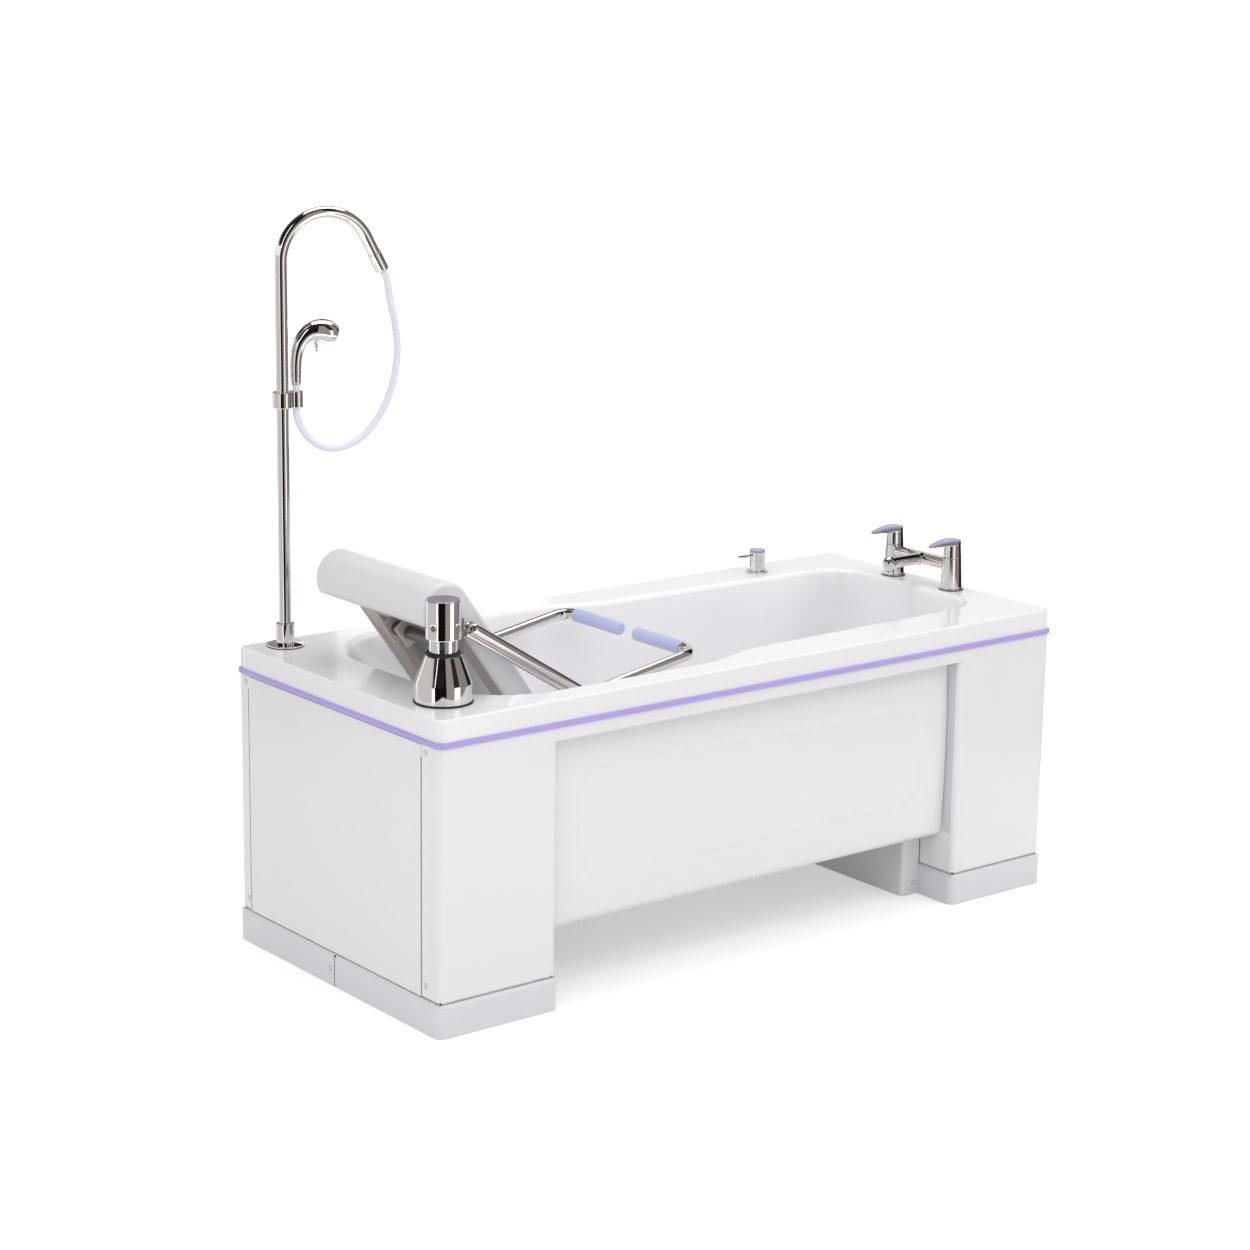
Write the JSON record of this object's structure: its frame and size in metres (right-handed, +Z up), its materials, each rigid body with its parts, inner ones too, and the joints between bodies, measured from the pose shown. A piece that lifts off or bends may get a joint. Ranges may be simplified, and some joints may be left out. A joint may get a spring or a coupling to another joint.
{
  "type": "assisted bath",
  "caption": "White fixed-height assisted bath with a raising transfer seat on a corner column, folding armrests, a shower riser with hose and handset, and a bridged bath tap.",
  "frame": {"origin": "on the floor, at the middle of the bath in plan", "axes": "+X towards the tap end, +Y away from the side with the seat column, +Z up"},
  "size_m": [1.7142, 0.764, 1.5909],
  "materials": {
    "tub_acrylic": "gloss white sanitary acrylic",
    "panel_white": "satin white moulded panel",
    "bumper_lilac": "satin lilac strip",
    "screw_chrome": "bright",
    "frame_steel": "grey coated steel",
    "foot_rubber": "matt",
    "chrome": "bright",
    "bush_plastic": "satin",
    "actuator_case": "satin",
    "arm_grey": "satin",
    "seat_steel": "satin stainless",
    "seat_plastic": "satin white",
    "grip_blue": "satin pale blue",
    "trap_plastic": "satin",
    "spray_face": "satin",
    "hose_plastic": "smooth pale hose",
    "tail_brass": "plain",
    "insert_lilac": "gloss lilac plate"
  },
  "bodies": {
    "bath": {"tub_shell": "tub_acrylic", "bumper_trim": "bumper_lilac", "near_apron": "panel_white", "far_apron": "panel_white", "near_tub_panel": "panel_white", "far_tub_panel": "panel_white", "head_end_panel": "panel_white", "foot_end_panel": "panel_white", "cover_screws": "screw_chrome", "head_plinth_near": "panel_white", "head_plinth_far": "panel_white", "foot_plinth_near": "panel_white", "foot_plinth_far": "panel_white", "head_kick_cover": "panel_white", "foot_kick_cover": "panel_white", "head_frame": "frame_steel", "foot_frame": "frame_steel", "tub_rails": "frame_steel", "levelling_feet": "foot_rubber", "column_gasket": "foot_rubber", "column_base": "chrome", "column_seal": "foot_rubber", "lift_guide_tube": "frame_steel", "guide_bushes": "bush_plastic", "lift_actuator": "actuator_case", "waste_flange": "chrome", "waste_trap": "trap_plastic", "riser_base": "chrome", "deck_tails": "tail_brass", "tap_flanges": "chrome", "tap_body": "chrome", "tap_spout": "chrome", "valve_body": "chrome"},
    "seat_lift": {"actuator_rod": "chrome", "lift_column": "chrome", "column_cap": "chrome", "support_arm": "arm_grey", "seat_frame": "seat_steel", "seat_bracket": "seat_steel", "seat_shell": "seat_plastic", "armrest_pivots": "chrome"},
    "near_arm": {"near_armrest": "chrome", "near_grip": "grip_blue"},
    "far_arm": {"far_armrest": "chrome", "far_grip": "grip_blue"},
    "riser": {"riser_pole": "chrome", "hose_ferrule": "chrome", "slider_clamp": "chrome", "handset_body": "chrome", "handset_face": "spray_face", "handset_nut": "chrome", "shower_hose": "hose_plastic"},
    "spray_mode": {"mode_lever": "chrome"},
    "near_handle": {"near_tap_handle": "chrome", "near_handle_insert": "insert_lilac"},
    "far_handle": {"far_tap_handle": "chrome", "far_handle_insert": "insert_lilac"},
    "valve_control": {"valve_lever": "chrome", "valve_cap": "insert_lilac"},
    "plug": {"waste_plug": "chrome"}
  },
  "joints": [
    {"name": "seat_raise", "type": "slide", "parent": "bath", "child": "seat_lift", "axis": [0, 0, 1], "range_m": [0, 0.42]},
    {"name": "near_arm_fold", "type": "hinge", "parent": "seat_lift", "child": "near_arm", "pos_m": [-0.66201, -0.228, 0.78747], "axis": [0, -1, 0], "range_deg": [0, 105]},
    {"name": "far_arm_fold", "type": "hinge", "parent": "seat_lift", "child": "far_arm", "pos_m": [-0.66201, 0.228, 0.78747], "axis": [0, -1, 0], "range_deg": [0, 105]},
    {"name": "riser_swivel", "type": "hinge", "parent": "bath", "child": "riser", "pos_m": [-0.767, 0.32, 0.7], "axis": [0, 0, 1], "range_deg": [0, 120]},
    {"name": "spray_select", "type": "hinge", "parent": "riser", "child": "spray_mode", "pos_m": [-0.6949, 0.30335, 1.3063], "axis": [-0.2026, 0.0468, 0.9781], "range_deg": [-25, 25]},
    {"name": "near_tap_turn", "type": "hinge", "parent": "bath", "child": "near_handle", "pos_m": [0.805, -0.098, 0.73], "axis": [0, 0, 1], "range_deg": [0, 90]},
    {"name": "far_tap_turn", "type": "hinge", "parent": "bath", "child": "far_handle", "pos_m": [0.805, 0.098, 0.73], "axis": [0, 0, -1], "range_deg": [0, 90]},
    {"name": "valve_turn", "type": "hinge", "parent": "bath", "child": "valve_control", "pos_m": [0.55, 0.305, 0.69], "axis": [0, 0, 1], "range_deg": [0, 90]},
    {"name": "plug_lift", "type": "slide", "parent": "bath", "child": "plug", "axis": [0, 0, 1], "range_m": [0, 0.008]}
  ]
}
